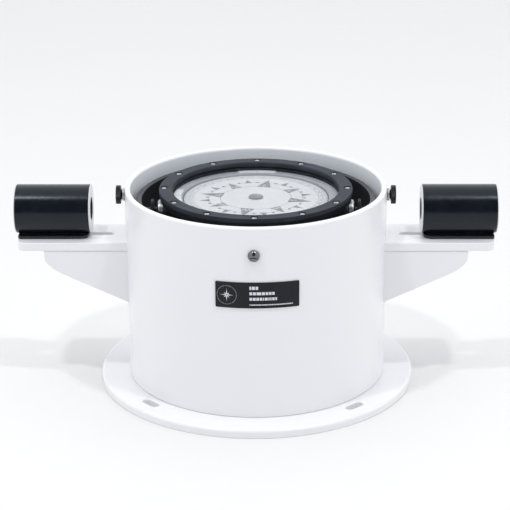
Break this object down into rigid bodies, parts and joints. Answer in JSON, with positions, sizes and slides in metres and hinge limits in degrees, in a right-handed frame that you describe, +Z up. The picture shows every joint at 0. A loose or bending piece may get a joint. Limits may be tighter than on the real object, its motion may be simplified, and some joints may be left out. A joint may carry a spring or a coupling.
{
  "type": "ship compass",
  "caption": "Gimballed marine card compass in a white flanged tube binnacle, with sliding cylindrical soft-iron correctors on side brackets.",
  "frame": {"origin": "centre of the base flange's underside, on the tube's axis", "axes": "+Z up along the tube; +X to starboard along the corrector brackets; +Y ahead, away from the name plate"},
  "size_m": [0.5034, 0.3336, 0.213],
  "materials": {
    "white_paint": "glossy white enamel on aluminium",
    "corrector_black": "semi-gloss black",
    "corrector_iron": "soft iron, ends painted white",
    "steel": "stainless steel",
    "bowl_black": "satin black paint on brass",
    "ring_black": "satin black paint on bronze",
    "nut_black": "blackened brass",
    "brass": "turned brass",
    "float_metal": "hollow float, stands for thin brass sheet",
    "glass": "clear",
    "rubber": "flat black seal",
    "plate_grey": "matt grey",
    "card": "matt off-white card with dark print",
    "lubber_white": "matt white",
    "magnet": "dark magnet steel",
    "lead": "dull grey ballast metal",
    "label": "black anodised plate"
  },
  "bodies": {
    "binnacle": {"base_flange": "white_paint", "binnacle_tube": "white_paint", "label_plate": "label", "magnet_tray": "white_paint", "heeling_tube": "brass", "ring_pivot_ahead": "steel", "ring_pivot_astern": "steel", "ring_pivot_nut_ahead": "steel", "ring_pivot_nut_astern": "steel", "corrector_shelf_port": "white_paint", "knob_washer_port": "steel", "corrector_shelf_starboard": "white_paint", "knob_washer_starboard": "steel", "shelf_cheek_port_after": "white_paint", "shelf_cheek_port_forward": "white_paint", "shelf_cheek_starboard_after": "white_paint", "shelf_cheek_starboard_forward": "white_paint"},
    "gimbal": {"gimbal_ring": "ring_black", "gimbal_bush_port": "brass", "gimbal_bush_starboard": "brass", "gimbal_bush_ahead": "brass", "gimbal_bush_astern": "brass"},
    "bowl": {"bowl_body": "bowl_black", "bezel_ring": "bowl_black", "top_glass": "glass", "glass_gasket": "rubber", "pivot_stem": "brass", "bottom_cover": "bowl_black", "expansion_diaphragm": "brass", "counterweight": "lead", "filling_plug": "brass", "lubber_ring": "plate_grey", "lubber_plate_ahead": "lubber_white", "lubber_plate_port": "lubber_white", "bowl_pivot_port": "steel", "lock_nut_port": "nut_black", "bowl_pivot_starboard": "steel", "lock_nut_starboard": "nut_black"},
    "card": {"compass_card": "card", "card_cap": "plate_grey", "card_float": "float_metal", "card_magnet_forward": "magnet", "card_magnet_after": "magnet"},
    "heeling_magnet_bucket": {"heeling_bucket": "brass", "heeling_magnet": "magnet"},
    "corrector_port": {"corrector_sleeve_port": "corrector_black", "corrector_core_port": "corrector_iron", "corrector_foot_port": "corrector_black", "clamp_bolt_port": "steel", "clamp_nut_port": "steel"},
    "knob_port": {"side_knob_port": "nut_black"},
    "corrector_starboard": {"corrector_sleeve_starboard": "corrector_black", "corrector_core_starboard": "corrector_iron", "corrector_foot_starboard": "corrector_black", "clamp_bolt_starboard": "steel", "clamp_nut_starboard": "steel"},
    "knob_starboard": {"side_knob_starboard": "nut_black"}
  },
  "joints": [
    {"name": "gimbal_ring_tilt", "type": "hinge", "parent": "binnacle", "child": "gimbal", "pos_m": [0, 0, 0.184], "axis": [0, 1, 0], "range_deg": [-40, 40]},
    {"name": "bowl_tilt", "type": "hinge", "parent": "gimbal", "child": "bowl", "pos_m": [0, 0, 0.184], "axis": [1, 0, 0], "range_deg": [-40, 40]},
    {"name": "card_turn", "type": "hinge", "parent": "bowl", "child": "card", "pos_m": [0, 0, 0.184], "axis": [0, 0, 1], "continuous": true},
    {"name": "corrector_port_slide", "type": "slide", "parent": "binnacle", "child": "corrector_port", "axis": [-1, 0, 0], "range_m": [-0.02, 0.015]},
    {"name": "corrector_starboard_slide", "type": "slide", "parent": "binnacle", "child": "corrector_starboard", "axis": [1, 0, 0], "range_m": [-0.02, 0.015]},
    {"name": "knob_port_turn", "type": "hinge", "parent": "binnacle", "child": "knob_port", "pos_m": [-0.139, 0, 0.2015], "axis": [-1, 0, 0], "continuous": true},
    {"name": "knob_starboard_turn", "type": "hinge", "parent": "binnacle", "child": "knob_starboard", "pos_m": [0.139, 0, 0.2015], "axis": [1, 0, 0], "continuous": true},
    {"name": "heeling_bucket_slide", "type": "slide", "parent": "binnacle", "child": "heeling_magnet_bucket", "axis": [0, 0, 1], "range_m": [-0.004, 0.014]}
  ]
}
